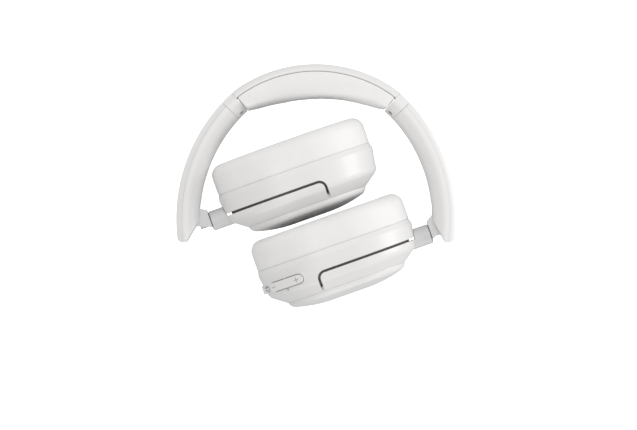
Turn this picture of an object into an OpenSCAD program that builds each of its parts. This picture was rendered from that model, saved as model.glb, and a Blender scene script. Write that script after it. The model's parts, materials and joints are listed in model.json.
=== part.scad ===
// Folding over-ear headphones, lying folded on one side.
// X runs across the headband, Y from the cups to the crown, Z up from the surface below.
// Each cup is drawn in its own frame (u, w, n): u runs from the fold pin along the cup,
// w is row Z, and n points out of the ear pad. The left side is the right one mirrored.

/* [Headband] */
// Height of the crown's outer face over the row's X axis
crown_y = 72.97; // [66:0.01:80]
// Radius of the crown's outer face
crown_r = 83; // [78:0.5:90]
// Half of the crown arc's angle
crown_deg = 33; // [28:0.5:36]
// Radius of the shoulder between crown and arm
shoulder_r = 40; // [30:1:50]
// Angle from the crown's middle at which the padded stretch ends
seam_deg = 42.4; // [40:0.1:45]
// Angle that each end cap spans
cap_deg = 4.6; // [4:0.1:6]
// Radius of each arm's outer face
arm_r = 101.7; // [96:0.1:110]
// Width of the band across the head
band_w = 26; // [24:0.5:32]
// Thickness of an arm
arm_t = 14; // [13:0.1:16]
// Depth of the arm's outer cover
arm_cover_t = 3.4; // [2.6:0.1:4.5]
// Depth of the crown's hard cover
crown_cover_t = 4.4; // [4.2:0.1:6]
// Depth from the crown's outer face to the pad's inner face
crown_total_t = 20.7; // [16:0.1:24]
// Radius of the crown pad's inner face
pad_face_r = 116; // [100:1:140]
// How much wider the crown pad is than the band
pad_extra_w = 2; // [0:0.5:6]
// Rounding of the arm's outer long edges
edge_r = 5; // [2:0.1:5.5]
// Rounding of the arm's inner long edges
inner_edge_r = 8.6; // [5:0.1:8.8]

/* [Slider] */
// Length of rail inside the arm
rail_l = 38; // [30:1:40]
// Width of the rail
rail_w = 12; // [8:0.5:14]
// Thickness of the rail
rail_t = 1.2; // [0.8:0.1:2]
// Depth of the rail below the arm's outer face at the end cap
rail_depth = 8.5; // [7.5:0.1:9.5]
// Lean of the rail from the arm's own direction
rail_lean = 7; // [5:0.5:9]
// Clearance on each side of the rail
rail_gap = 0.5; // [0.3:0.05:0.8]

/* [Fold hinge] */
// Distance of the fold pin along the arm, as an angle below the arm arc's centre line
pin_deg = 88.2; // [86:0.1:90]
// Depth of the fold pin below the arm's outer face
pin_depth = 7.6; // [7:0.1:8.5]
// Radius of the fold pin
pin_r = 2.5; // [1.8:0.1:3]
// Width of the hinge block
block_w = 12.6; // [11:0.1:14]
// Radius of the block's knuckle
knuckle_r = 6.4; // [5.5:0.1:7]
// Side clearance of the block in the fork
fork_gap = 0.3; // [0.2:0.05:0.6]
// Direction of the right cup from its pin, folded
right_fold_deg = 199.5; // [190:0.5:205]
// Direction of the left cup from its pin in the mirrored frame, folded
left_fold_deg = 160.5; // [155:0.5:162]

/* [Swivel] */
// Radius of the yoke's collar
collar_r = 6.05; // [5:0.05:6.5]
// Distance of the collar's axis from the pin, away from the pad
collar_n = 8.64; // [8:0.02:9.5]
// Distance from the pin to the block's face
block_face_u = 10.6; // [10:0.1:12]
// Radius of the swivel shaft
shaft_r = 2.6; // [2:0.1:3]

/* [Cup] */
// Length of the cup
cup_l = 97.6; // [90:0.2:105]
// Width of the cup
cup_w = 76; // [70:0.5:84]
// From the fold pin to the near end of the cup
cup_near = 19.2; // [18.5:0.1:22]
// Height of the rim's edge over the pin
rim_n = 4.2; // [3:0.1:6]
// Depth of the rim's bevel
bevel_h = 3.3; // [1:0.1:5]
// Width of the rim's bevel
bevel_w = 0.8; // [0.2:0.1:2]
// Depth from the rim's edge to the housing's lower edge
housing_h = 24.3; // [22:0.1:26]
// Rounding between the housing's side and its chamfer
housing_r = 6.2; // [5.8:0.1:7]
// How far the housing's side leans in down to the chamfer
housing_lean = 2.1; // [0.5:0.1:3]
// Height of the chamfer round the housing's lower edge
chamfer_h = 7.3; // [5:0.1:9]
// Slope of the chamfer
chamfer_deg = 36.3; // [30:0.1:45]
// Wall of the housing
wall = 2; // [1.4:0.1:2.4]
// Depth of the slit's middle under the rim's edge
slit_h = 12.3; // [11:0.1:13]
// Width of the slit between yoke and housing
slit_w = 1.5; // [1.2:0.1:1.8]
// Clearance between yoke and housing inside
yoke_gap = 0.6; // [0.5:0.05:0.9]
// Thickness of the yoke
yoke_t = 3; // [2.4:0.1:3.4]
// Distance that the yoke reaches past the cup's centre
yoke_reach = 14.5; // [12:0.5:18]
// Rounding of the yoke's end
yoke_end_r = 3.4; // [2:0.1:4]
// Height of the outer cover's crown
cover_h = 6.7; // [5:0.1:8]
// Gap of the outer cover from the housing's end
cover_in = 11.5; // [10.5:0.1:13]
// Radius of the outer cover's face
cover_face_r = 81; // [70:1:110]
// Rounding of the outer cover's edge
cover_edge_r = 5.2; // [3:0.1:6]

/* [Ear pad] */
// Height of the ear pad over the rim
ear_pad_h = 18.3; // [14:0.1:22]
// Half of the ear opening's width
ear_open_r = 21; // [18:0.5:24]
// How far the pad's foot sits inside the rim
pad_foot_in = 1.6; // [1:0.1:3]
// Rounding of the pad's outer edge
pad_edge_r = 7.6; // [5:0.1:9]

/* [Driver and electronics] */
// Radius of the driver's basket
driver_r = 20; // [15:0.5:22]
// Radius of the driver's magnet
magnet_r = 11; // [8:0.5:14]
// Radius of the tilt pins
tilt_pin_r = 1.8; // [1.4:0.1:2.2]
// Running clearance of shafts in their bores
run_gap = 0.05; // [0.02:0.01:0.08]

/* [Controls] */
// Radius of the power button
power_r = 2.7; // [2:0.1:3]
// Travel of the power button
power_travel = 0.6; // [0.4:0.1:0.8]
// Height of the volume rocker
rocker_h = 5.4; // [4:0.1:6]
// First and last angle of the volume rocker round the cup's end
rocker_from = 30; // [28:1:34]
rocker_to = 70; // [60:1:72]
// Radius of the headphone socket
jack_r = 1.8; // [1.75:0.01:1.85]

/* [Hidden] */
$fn = 96;

// Cuts overshoot the faces that they open by this much
over = 1;
// Parting line between shells that meet
parting = 0.15;
// Angle left free at each end of an end cap
cap_free = 0.03;
// Middle of the band and the cups over the surface
mid_z = cup_w / 2;
LEFT = -1;
RIGHT = 1;

// Centres of the band's arcs, each tangent to the next
crown_c = [0, crown_y - crown_r];
shoulder_c = crown_c + (crown_r - shoulder_r) * [sin(crown_deg), cos(crown_deg)];
arm_c = shoulder_c + (shoulder_r - arm_r) * [sin(seam_deg), cos(seam_deg)];
arm_from = seam_deg + cap_deg;
// The fold pin's place in the right half
pin_xy = arm_c + (arm_r - pin_depth) * [sin(pin_deg), cos(pin_deg)];
// The fork starts this far over the pin, and its cheeks end at the tip line
fork_top = 8;
tip_drop = 17;
// Where the tip's slant starts, and the two sides and the step of its narrow end
slant_in = 6.6;
slant_y = 3;
tip_inner = 1.6;
tip_outer = 4.4;
tip_step = 1;
// The rail's start and direction in the right half
rail_xy = arm_c + (arm_r - rail_depth) * [sin(arm_from), cos(arm_from)];
rail_deg = -arm_from - rail_lean;
rail_root = 6;

cup_u = cup_near + cup_l / 2;
// The cup's plan is two half circles of half its width, this far from its centre
oval_r = cup_w / 2;
oval_g = (cup_l - cup_w) / 2;
slit_n = rim_n - slit_h;
housing_n = rim_n - housing_h;
// The corner between the side and the chamfer, their outward directions and the rounding's centre
side_n = housing_n + chamfer_h;
side_top_n = rim_n - bevel_h;
lean_deg = atan(housing_lean / (side_top_n - side_n));
side_out = [cos(lean_deg), -sin(lean_deg)];
chamfer_out = [sin(chamfer_deg), -cos(chamfer_deg)];
turn_deg = 90 - chamfer_deg - lean_deg;
housing_c = [oval_r - housing_lean, side_n]
    + housing_r * tan(turn_deg / 2) * [sin(lean_deg), cos(lean_deg)] - housing_r * side_out;
cover_r = oval_r - cover_in;
recess_t = yoke_t + yoke_gap;
inner_t = recess_t + wall;
// The floor of the housing, where the outer cover seats
floor_n = housing_n + recess_t;
yoke_end = cup_u + yoke_reach;
baffle_t = 2.2;
seat_n = rim_n - baffle_t;
ring_t = 0.8;
scrim_t = 0.35;
stack_gap = 0.05;
ring_n = rim_n + stack_gap;
scrim_n = ring_n + ring_t + stack_gap;
pad_n = scrim_n + scrim_t + stack_gap;
pad_top_n = rim_n + ear_pad_h;
pad_in = 0.2;
// Tilt pins sit this far short of the yoke's ends
tilt_u = yoke_end - 7;
tilt_n = slit_n - 5.6;
collar_from = block_face_u + 0.5;
collar_to = cup_near + 0.45;
// How deep the collar sits in the yoke's wall
collar_seat = 4.4;

white = [0.93, 0.93, 0.92];
pad_white = [0.88, 0.88, 0.87];
silver = [0.72, 0.73, 0.74];
steel = [0.62, 0.63, 0.65];
dark = [0.15, 0.15, 0.16];
board_green = [0.1, 0.32, 0.2];

// ---- shared shapes ----

// A rectangle from a to b with round corners, of one radius near x = a and another near b
module round_rect(a, b, r_far, r_near = 0.6) {
    for (y = [a[1], b[1]]) {
        s = y == a[1] ? 1 : -1;
        intersection() {
            translate([b[0] - r_far, y + s * r_far]) circle(r_far);
            translate([a[0] + r_near, a[1]]) square([b[0] - a[0], b[1] - a[1]]);
        }
        translate([a[0] + r_near, y + s * r_near]) circle(r_near);
    }
    translate([a[0] + r_near, a[1] + r_far])
        square([b[0] - a[0] - r_near, b[1] - a[1] - 2 * r_far]);
    translate([a[0] + r_near, a[1]]) square([b[0] - a[0] - r_near - r_far, b[1] - a[1]]);
    translate([a[0], a[1] + r_near]) square([r_near + 0.01, b[1] - a[1] - 2 * r_near]);
}

// Draws the right half's shapes, or their mirror image for the left
module half(side) {
    if (side == LEFT) mirror([1, 0, 0]) children();
    else children();
}

// Sweeps a section of (radius, height) round a band centre, by angle from the crown's middle
module band_arc(centre, from, to) {
    translate([centre[0], centre[1], mid_z])
        rotate([0, 0, 90 - to]) rotate_extrude(angle = to - from, $fn = 180) children();
}

// The row's plan at a height, as a slab about the band's middle
module slab(w) {
    translate([0, 0, mid_z]) linear_extrude(w, center = true) children();
}

// The hinge's plane: x is u, y is minus n, turned to where the cup is folded
module hinge_frame(side) {
    half(side) translate([pin_xy[0], pin_xy[1], mid_z])
        rotate([0, 0, side == LEFT ? left_fold_deg : right_fold_deg]) children();
}

// The cup's frame: x is u, y is w, z is n
module cup_frame(side) {
    hinge_frame(side) rotate([90, 0, 0]) children();
}

// Sweeps a section of (distance, n) round the cup's oval
module oval() {
    translate([cup_u, 0, 0]) {
        translate([oval_g, 0, 0]) rotate([0, 0, -90]) rotate_extrude(angle = 180) children();
        translate([-oval_g, 0, 0]) rotate([0, 0, 90]) rotate_extrude(angle = 180) children();
        rotate([90, 0, 90]) linear_extrude(2 * oval_g, center = true) {
            children();
            mirror([1, 0]) children();
        }
    }
}

// A flat oval from n = a up to b
module oval_plate(r, a, b) {
    oval() translate([0, a]) square([r, b - a]);
}

module oval_ring(r_in, r_out, a, b) {
    oval() translate([r_in, a]) square([r_out - r_in, b - a]);
}

// A rod along u, at height n and offset w, from u = a to b
module rod_u(r, a, b, n, w = 0) {
    translate([a, w, n]) rotate([0, 90, 0]) cylinder(b - a, r = r);
}

// ---- headband ----

// The shoulders' sections are this much smaller, so that they fuse inside the crown's ends
blend_in = 0.02;
crown_edge_r = 3.5;
spring_depth = crown_cover_t - rail_t - 0.1;
// Room inside the cover, on each side of the band's middle
hollow_w = 12;

// Sweeps one section round the crown and one round each shoulder
module crown_sweep() {
    band_arc(crown_c, -crown_deg, crown_deg) translate([crown_r, 0]) children(0);
    for (side = [LEFT, RIGHT])
        half(side) band_arc(shoulder_c, crown_deg - 1, seam_deg)
            translate([shoulder_r, 0]) children(1);
}

// The crown cover's section, drawn t inside its faces
module crown_section(t) {
    difference() {
        round_rect([t - crown_cover_t, t - band_w / 2], [-t, band_w / 2 - t], crown_edge_r - t);
        translate([-crown_cover_t - over, -hollow_w - t])
            square([crown_cover_t - wall + over + t, 2 * (hollow_w + t)]);
    }
}

module headband_cover() {
    color(white) crown_sweep() {
        crown_section(0);
        crown_section(blend_in);
    }
}

module spring_section(t) {
    translate([t - spring_depth - rail_t, t + 1 - hollow_w])
        square([rail_t - 2 * t, 2 * (hollow_w - 1 - t)]);
}

// A steel band under the cover, from one end cap to the other
module headband_spring() {
    color(steel) crown_sweep() {
        spring_section(0);
        spring_section(blend_in);
    }
}

// A slice of the plan about a centre, from angle a to b from the crown's middle
module wedge(centre, a, b) {
    reach = 3 * crown_r;
    translate(centre) polygon([[0, 0], reach * [sin(a), cos(a)],
        reach * [sin((a + b) / 2), cos((a + b) / 2)], reach * [sin(b), cos(b)]]);
}

module crown_disc(d) {
    intersection() {
        translate(crown_c) circle(crown_r - d, $fn = 180);
        wedge(crown_c, -crown_deg, crown_deg);
    }
    for (side = [LEFT, RIGHT]) mirror([side == LEFT ? 1 : 0, 0]) intersection() {
        translate(shoulder_c) circle(shoulder_r - d, $fn = 180);
        wedge(shoulder_c, crown_deg - 0.5, seam_deg);
    }
}

module headband_pad() {
    color(pad_white) slab(band_w + pad_extra_w) difference() {
        crown_disc(crown_cover_t + parting);
        translate([0, crown_y - crown_total_t - pad_face_r]) circle(pad_face_r, $fn = 240);
    }
}

// ---- arms ----

module arm_outline() {
    for (s = [-1, 1]) {
        translate([arm_r - edge_r, s * (band_w / 2 - edge_r)]) circle(edge_r);
        translate([arm_r - arm_t + inner_edge_r, s * (band_w / 2 - inner_edge_r)]) circle(inner_edge_r);
    }
    translate([arm_r - arm_t + inner_edge_r, -band_w / 2])
        square([arm_t - inner_edge_r - edge_r, band_w]);
    translate([arm_r - edge_r - over, edge_r - band_w / 2]) square([edge_r + over, band_w - 2 * edge_r]);
    translate([arm_r - arm_t, inner_edge_r - band_w / 2])
        square([arm_t - edge_r, band_w - 2 * inner_edge_r]);
}

// The arm's section from a to b below its outer face
module arm_section(a, b) {
    intersection() {
        arm_outline();
        translate([arm_r - b, -band_w]) square([b - a, 2 * band_w]);
    }
}

// The straight rail's own frame: x along it, y towards the outer face
module rail_frame() {
    translate([rail_xy[0], rail_xy[1], mid_z]) rotate([0, 0, rail_deg]) children();
}

module rail_bar(from, grow) {
    rail_frame() translate([from, -rail_t / 2 - grow, -rail_w / 2 - grow])
        cube([rail_l - from + grow, rail_t + 2 * grow, rail_w + 2 * grow]);
}

module slider_rail(side) {
    color(steel) half(side) rail_bar(-rail_root, 0);
}

module end_cap(side) {
    color(white) half(side) difference() {
        band_arc(arm_c, seam_deg + cap_free, arm_from - cap_free) arm_section(0, arm_t);
        rail_bar(-rail_root - over, 0.02);
        for (w = [-1, 1]) screw_place(w) translate([0, 0, -over]) cylinder(3 + over, r = screw_r + 0.05);
    }
}

screw_r = 1.55;
// How far each screw turns from the radius towards the band's middle
screw_tilt = 27;

// Two screws hold each end cap from inside the band, square to its rounded inner edges
module screw_place(w) {
    mid = (seam_deg + arm_from) / 2;
    translate([arm_c[0], arm_c[1], mid_z]) rotate([0, 0, 90 - mid])
        translate([arm_r - arm_t + inner_edge_r, 0, w * (band_w / 2 - inner_edge_r)])
            rotate([0, 90 + w * screw_tilt, 0]) translate([0, 0, -inner_edge_r]) children();
}

module end_cap_screws(side) {
    color(steel) half(side) for (w = [-1, 1]) screw_place(w)
        translate([0, 0, 1.4]) difference() {
            cylinder(1.55, r = screw_r);
            translate([0, 0, -over]) cylinder(0.6 + over, r = screw_r / 2);
        }
}

// The plan of an arm's end, about the pin: it ends tip_drop below the pin, its inner edge
// slants to a narrow tip in two steps, and the tip's outer corner is cut off
module tip_plan() {
    low = -2 * tip_drop;
    translate(pin_xy) difference() {
        translate([-arm_r, -tip_drop]) square(2 * arm_r);
        polygon([[-arm_r, arm_r], [-slant_in, -slant_y], [2.7 - slant_in, -2.53 * slant_y],
            [tip_inner, -tip_drop], [tip_inner, low], [-arm_r, low]]);
        polygon([[tip_outer, low], [pin_depth + over, low], [pin_depth + over, tip_step - tip_drop],
            [tip_outer + 2, tip_step - tip_drop], [tip_outer, -tip_step / 2 - tip_drop]]);
    }
}

// Room for the hinge block between the arm's cheeks
module fork_cut() {
    slot = block_w + 2 * fork_gap;
    translate([pin_xy[0] - 2 * arm_t, pin_xy[1] + fork_top - 2 * arm_r, mid_z - slot / 2])
        cube([4 * arm_t, 2 * arm_r, slot]);
}

module arm_sweep(a, b) {
    intersection() {
        band_arc(arm_c, arm_from + cap_free, 110) arm_section(a, b);
        slab(2 * band_w) tip_plan();
    }
}

module arm_cover(side) {
    color(white) half(side) difference() {
        arm_sweep(0, arm_cover_t);
        fork_cut();
    }
}

module arm(side) {
    color(white) half(side) difference() {
        arm_sweep(arm_cover_t + 0.02, arm_t);
        fork_cut();
        rail_bar(-over, rail_gap);
        detent_bar(0.1);
        translate([pin_xy[0], pin_xy[1], mid_z])
            cylinder(block_w + 2 * fork_gap + 7.2, r = pin_r, center = true);
    }
}

// A sprung leaf that clicks on the rail, in a pocket under it
module detent_bar(grow) {
    rail_frame() translate([6 - grow, -rail_t / 2 - rail_gap - 1.2 - grow, -4 - grow])
        cube([8 + 2 * grow, 1.2 + grow, 8 + 2 * grow]);
}

module slider_detent(side) {
    color(steel) half(side) detent_bar(0);
}

module fold_pin(side) {
    color(steel) half(side) translate([pin_xy[0], pin_xy[1], mid_z])
        cylinder(block_w + 2 * fork_gap + 7, r = pin_r, center = true);
}

// ---- hinge block and swivel ----

module hinge_block(side) {
    color(silver) hinge_frame(side) difference() {
        linear_extrude(block_w, center = true) {
            circle(knuckle_r);
            polygon([[-1.5, -6.2], [0, -knuckle_r], [6.9, -0.9], [block_face_u - 0.6, 1],
                [block_face_u, 1.6], [block_face_u, 12.2], [1.6, 8.7], [-2, 6]]);
        }
        cylinder(2 * block_w, r = pin_r + run_gap, center = true);
        rotate([90, 0, 0]) rod_u(shaft_r, 3.4, block_face_u + over, -collar_n);
    }
}

module swivel_shaft(side) {
    color(steel) cup_frame(side) rod_u(shaft_r, 3.6, collar_to - 1.5, -collar_n);
}

module swivel_washer(side) {
    color(dark) cup_frame(side) difference() {
        rod_u(collar_r - 0.7, block_face_u + 0.05, collar_from - 0.05, -collar_n);
        rod_u(shaft_r + run_gap, block_face_u - over, collar_from + over, -collar_n);
    }
}

// ---- cup housing and yoke ----

// How far the flats stop inside the rounding, so that they cross it cleanly
flat_in = 0.01;

// The housing's half section, drawn t inside its outer face
module housing_section(t) {
    side_end = housing_c + (housing_r - t - flat_in) * side_out;
    chamfer_from = housing_c + (housing_r - t - flat_in) * chamfer_out;
    foot_r = chamfer_from[0] - (chamfer_from[1] - housing_n - t) / tan(chamfer_deg);
    translate(housing_c) circle(housing_r - t);
    polygon([[0, housing_n + t], [foot_r, housing_n + t], chamfer_from, housing_c, side_end,
        [oval_r - t, side_top_n], [oval_r - bevel_w - t, rim_n], [0, rim_n]]);
}

// The side view of the yoke, grown by a gap, as a bar right through the cup
module yoke_side(gap) {
    r = yoke_end_r + gap;
    top = slit_n - slit_w / 2 + gap;
    end = yoke_end - slit_w / 2 + gap;
    rotate([90, 0, 0]) linear_extrude(2 * cup_w, center = true) {
        translate([0, housing_n - 20]) square([end - r, top - housing_n + 20]);
        translate([end - r - over, housing_n - 20]) square([r + over, top - housing_n + 20 - r]);
        translate([end - r, top - r]) circle(r);
    }
}

module housing(side) {
    color(white) cup_frame(side) difference() {
        oval() housing_section(0);
        // the yoke's recess
        intersection() {
            oval() difference() {
                translate([0, housing_n - over]) square([oval_r + over, housing_h + over]);
                housing_section(recess_t);
                translate([0, housing_n - 2 * over]) square([cover_r - 1.8, housing_h]);
            }
            yoke_side(slit_w);
        }
        oval_plate(cover_r + 0.25, housing_n - over, floor_n);
        // the cavity, its mouth for the baffle and the opening under the outer cover
        oval() housing_section(inner_t);
        oval() intersection() {
            housing_section(wall);
            translate([0, slit_n + slit_w / 2 + wall]) square([oval_r, housing_h]);
        }
        oval_plate(oval_r - wall, seat_n, rim_n + over);
        oval_plate(cover_r - 2.4, floor_n - over, floor_n + wall + over);
        translate([tilt_u, 0, tilt_n]) rotate([90, 0, 0])
            cylinder(2 * cup_w, r = tilt_pin_r + run_gap, center = true);
        if (side == RIGHT) {
            rod_u(power_r + 0.15, cup_u, cup_u + cup_l, power_n);
            rod_u(power_r + 1.15, cup_u, power_seat_u, power_n);
            rod_u(jack_r + 1.35, cup_u, cup_u + cup_l, power_n, jack_w);
            usb_body(0.05);
            rocker_body(0.35);
            rocker_pin_rod(0);
        }
    }
}

// The collar runs from the hinge block into the yoke's end wall
module collar(side) {
    color(silver) cup_frame(side) difference() {
        rod_u(collar_r, collar_from, collar_to + collar_seat, -collar_n);
        intersection() {
            oval() housing_section(-parting);
            translate([collar_from, -cup_w, slit_n - slit_w / 2]) cube([cup_l, 2 * cup_w, cup_w]);
        }
        rod_u(shaft_r + run_gap, collar_from - over, collar_to - 1.4, -collar_n);
    }
}

module yoke(side) {
    color(white) cup_frame(side) difference() {
        intersection() {
            oval() difference() {
                housing_section(0);
                housing_section(yoke_t);
                translate([0, housing_n - over]) square([cover_r + 0.45, housing_h]);
            }
            yoke_side(0);
        }
        rod_u(collar_r, collar_from, collar_to + collar_seat, -collar_n);
        translate([tilt_u, 0, tilt_n]) rotate([90, 0, 0])
            cylinder(2 * tilt_pin_end, r = tilt_pin_r, center = true);
    }
}

// The housing's half width at the tilt pins' lower side, on the chamfer
chamfer_top = housing_c + housing_r * chamfer_out;
tilt_w = chamfer_top[0] - (chamfer_top[1] - tilt_n + tilt_pin_r) / tan(chamfer_deg);
tilt_pin_end = tilt_w - 0.9;
tilt_pin_l = 5.6;

module tilt_pins(side) {
    color(steel) cup_frame(side) for (s = [-1, 1])
        translate([tilt_u, s * (tilt_pin_end - tilt_pin_l / 2 - 0.05), tilt_n])
            rotate([90, 0, 0]) cylinder(tilt_pin_l, r = tilt_pin_r, center = true);
}

// The outer cover's half section, drawn t inside its outer face
module cover_section(t) {
    face_n = housing_n - cover_h;
    c_n = face_n + cover_face_r;
    edge_c = cover_r - cover_edge_r;
    edge_n = c_n - sqrt(pow(cover_face_r - cover_edge_r, 2) - pow(edge_c, 2));
    blend_r = edge_c * cover_face_r / (cover_face_r - cover_edge_r);
    intersection() {
        translate([0, c_n]) circle(cover_face_r - t, $fn = 240);
        translate([0, face_n]) square([blend_r, edge_n - face_n + 0.01]);
    }
    intersection() {
        translate([edge_c, edge_n]) circle(cover_edge_r - t);
        translate([0, face_n]) square([cover_r, edge_n - face_n + 0.01]);
    }
    translate([0, edge_n]) square([cover_r - t, floor_n - 0.05 - edge_n]);
}

module outer_cover(side) {
    spigot = cover_r - 2.5;
    color(white) cup_frame(side) {
        oval() difference() {
            cover_section(0);
            cover_section(wall);
            translate([0, floor_n - over]) square([cover_r - wall, 2 * over]);
        }
        oval_ring(spigot - 1.4, spigot, floor_n - 1.4, floor_n + wall - 0.2);
        oval_ring(spigot - 1.4, cover_r - wall + 0.1, floor_n - 1.4, floor_n - 0.1);
    }
}

// ---- what the housing holds ----

module baffle(side) {
    vent_r = 1.6;
    color(dark) cup_frame(side) difference() {
        oval_plate(oval_r - wall - 0.1, seat_n + 0.02, rim_n);
        translate([cup_u, 0, seat_n - over]) cylinder(baffle_t + 2 * over, r = driver_r - 2);
        for (a = [0 : 60 : 300])
            translate([cup_u + 26 * cos(a), 26 * sin(a), seat_n - over])
                cylinder(baffle_t + 2 * over, r = vent_r);
    }
}

module driver(side) {
    color(dark) cup_frame(side) translate([cup_u, 0, 0]) rotate_extrude() {
        translate([0, seat_n - 3]) square([driver_r, 2.98]);
        translate([0, seat_n - 8]) square([driver_r - 4, 5.01]);
        translate([0, seat_n - 13]) square([magnet_r, 5.01]);
    }
}

module pad_ring(side) {
    color(dark) cup_frame(side)
        oval_ring(ear_open_r + 2, oval_r - pad_foot_in - 1.4, ring_n, ring_n + ring_t);
}

module scrim(side) {
    color(dark) cup_frame(side)
        oval_plate(oval_r - pad_foot_in - 2.4, scrim_n, scrim_n + scrim_t);
}

module ear_pad(side) {
    bulge_r = oval_r - pad_in;
    round_n = pad_top_n - pad_edge_r;
    color(pad_white) cup_frame(side) oval() difference() {
        union() {
            translate([bulge_r - pad_edge_r, round_n]) circle(pad_edge_r);
            polygon([[ear_open_r, ring_n + 0.25], [oval_r - pad_foot_in, ring_n + 0.25],
                [bulge_r - 0.2, round_n - 3], [bulge_r, round_n], [ear_open_r, round_n]]);
            translate([ear_open_r, round_n]) square([bulge_r - pad_edge_r - ear_open_r, pad_edge_r]);
        }
        translate([0, ring_n - over]) square([oval_r - pad_foot_in - 1.2, pad_n - ring_n + over]);
        difference() {
            translate([0, round_n]) square([ear_open_r + 4, pad_edge_r + over]);
            translate([ear_open_r + 4, pad_top_n - 4]) circle(4);
            translate([ear_open_r, round_n]) square([4, pad_edge_r - 4]);
        }
    }
}

battery_l = 36;
battery_w = 22;
// The battery's corners rest on the outer cover's inner face
battery_d = sqrt(pow(max(0, battery_l / 2 - oval_g), 2) + pow(battery_w / 2, 2));
battery_n = housing_n - cover_h + cover_face_r - sqrt(pow(cover_face_r - wall, 2) - pow(battery_d, 2));

module battery(side) {
    color(steel) cup_frame(side) translate([cup_u - battery_l / 2, -battery_w / 2, battery_n + 0.02])
        cube([battery_l, battery_w, 6]);
}

module circuit_board(side) {
    board_n = floor_n + 0.1;
    color(board_green) cup_frame(side) {
        translate([cup_u - 26, -14, board_n]) cube([52, 28, 1.2]);
        translate([cup_u - 14, -8, board_n - 2.6]) cube([10, 10, 2.61]);
        translate([cup_u + 4, -4, board_n - 2]) cube([7, 9, 2.01]);
    }
}

// ---- controls and sockets, at the right cup's far end ----

power_n = slit_n + 0.6;
rocker_pin_r = 0.7;
jack_w = -15;
usb_w = 10;
tail_u = cup_u + cup_l / 2;
// The button's flange rests under this shoulder
power_seat_u = tail_u - 5.4;
flange_t = 1;

module usb_body(grow) {
    far = cup_u + oval_g + sqrt(pow(oval_r, 2) - pow(usb_w, 2));
    translate([far - 9, usb_w, power_n]) for (s = [-1, 1])
        translate([0, s * 2.9, 0]) rotate([0, 90, 0])
            cylinder(8 + (grow > 0 ? 5 : 0), r = 1.6 + grow);
    translate([far - 9, usb_w - 2.9, power_n - 1.6 - grow])
        cube([8 + (grow > 0 ? 5 : 0), 5.8, 3.2 + 2 * grow]);
}

module usb_port() {
    color(steel) cup_frame(RIGHT) difference() {
        usb_body(0);
        far = cup_u + oval_g + sqrt(pow(oval_r, 2) - pow(usb_w, 2));
        translate([far - 7, usb_w - 3.6, power_n - 1.1]) difference() {
            cube([8, 7.2, 2.2]);
            translate([-over, 0.6, 0.75]) cube([7, 6, 0.7]);
        }
    }
}

// A socket for a 3.5 mm plug
module audio_jack() {
    far = cup_u + oval_g + sqrt(pow(oval_r, 2) - pow(jack_w, 2));
    color(steel) cup_frame(RIGHT) difference() {
        rod_u(jack_r + 1.3, far - 17, far - 1.6, power_n, jack_w);
        rod_u(jack_r, far - 15.5, far, power_n, jack_w);
    }
}

module power_button() {
    color(white) cup_frame(RIGHT) {
        rod_u(power_r, power_seat_u - flange_t - 0.2, tail_u + 0.2, power_n);
        rod_u(power_r + 1, power_seat_u - flange_t - 0.2, power_seat_u - 0.2, power_n);
    }
}

// A curved bar round the cup's end, grown by a gap
module rocker_body(grow) {
    mid_r = oval_r - 1;
    slack = atan(grow / oval_r);
    end_a = atan(rocker_h / 2 / mid_r);
    translate([cup_u + oval_g, 0, power_n]) {
        rotate([0, 0, rocker_from + end_a]) rotate_extrude(angle = rocker_to - rocker_from - 2 * end_a)
            translate([oval_r - 4 - grow, -rocker_h / 2 - grow])
                square([4.5 + grow, rocker_h + 2 * grow]);
        for (a = [rocker_from + end_a, rocker_to - end_a]) intersection() {
            rotate([0, 0, a]) translate([oval_r - 7, 0, 0]) rotate([0, 90, 0])
                cylinder(12, r = rocker_h / 2 + grow);
            rotate_extrude() translate([oval_r - 4 - grow, -rocker_h])
                square([4.5 + grow, 2 * rocker_h]);
        }
    }
}

// The rocker turns on a thin pin that runs across it
module rocker_pin_rod(grow) {
    mid_a = (rocker_from + rocker_to) / 2;
    pin_at = [cup_u + oval_g + (oval_r - 2.4) * cos(mid_a), (oval_r - 2.4) * sin(mid_a), power_n];
    translate(pin_at) cylinder(rocker_h + 3.4, r = rocker_pin_r + grow, center = true);
}

module volume_rocker() {
    color(white) cup_frame(RIGHT) difference() {
        rocker_body(0);
        rocker_pin_rod(run_gap);
    }
}

module volume_rocker_pin() {
    color(steel) cup_frame(RIGHT) rocker_pin_rod(0);
}

headband_cover();
headband_spring();
headband_pad();
end_cap(LEFT);  // left_end_cap
end_cap_screws(LEFT);  // left_end_cap_screws
slider_rail(LEFT);  // left_slider_rail
arm_cover(LEFT);  // left_arm_cover
arm(LEFT);  // left_arm
slider_detent(LEFT);  // left_slider_detent
fold_pin(LEFT);  // left_fold_pin
hinge_block(LEFT);  // left_hinge_block
swivel_shaft(LEFT);  // left_swivel_shaft
swivel_washer(LEFT);  // left_swivel_washer
collar(LEFT);  // left_collar
yoke(LEFT);  // left_yoke
tilt_pins(LEFT);  // left_tilt_pins
housing(LEFT);  // left_housing
outer_cover(LEFT);  // left_outer_cover
baffle(LEFT);  // left_baffle
driver(LEFT);  // left_driver
pad_ring(LEFT);  // left_pad_ring
scrim(LEFT);  // left_scrim
ear_pad(LEFT);  // left_ear_pad
battery(LEFT);  // left_battery
end_cap(RIGHT);  // right_end_cap
end_cap_screws(RIGHT);  // right_end_cap_screws
slider_rail(RIGHT);  // right_slider_rail
arm_cover(RIGHT);  // right_arm_cover
arm(RIGHT);  // right_arm
slider_detent(RIGHT);  // right_slider_detent
fold_pin(RIGHT);  // right_fold_pin
hinge_block(RIGHT);  // right_hinge_block
swivel_shaft(RIGHT);  // right_swivel_shaft
swivel_washer(RIGHT);  // right_swivel_washer
collar(RIGHT);  // right_collar
yoke(RIGHT);  // right_yoke
tilt_pins(RIGHT);  // right_tilt_pins
housing(RIGHT);  // right_housing
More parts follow.
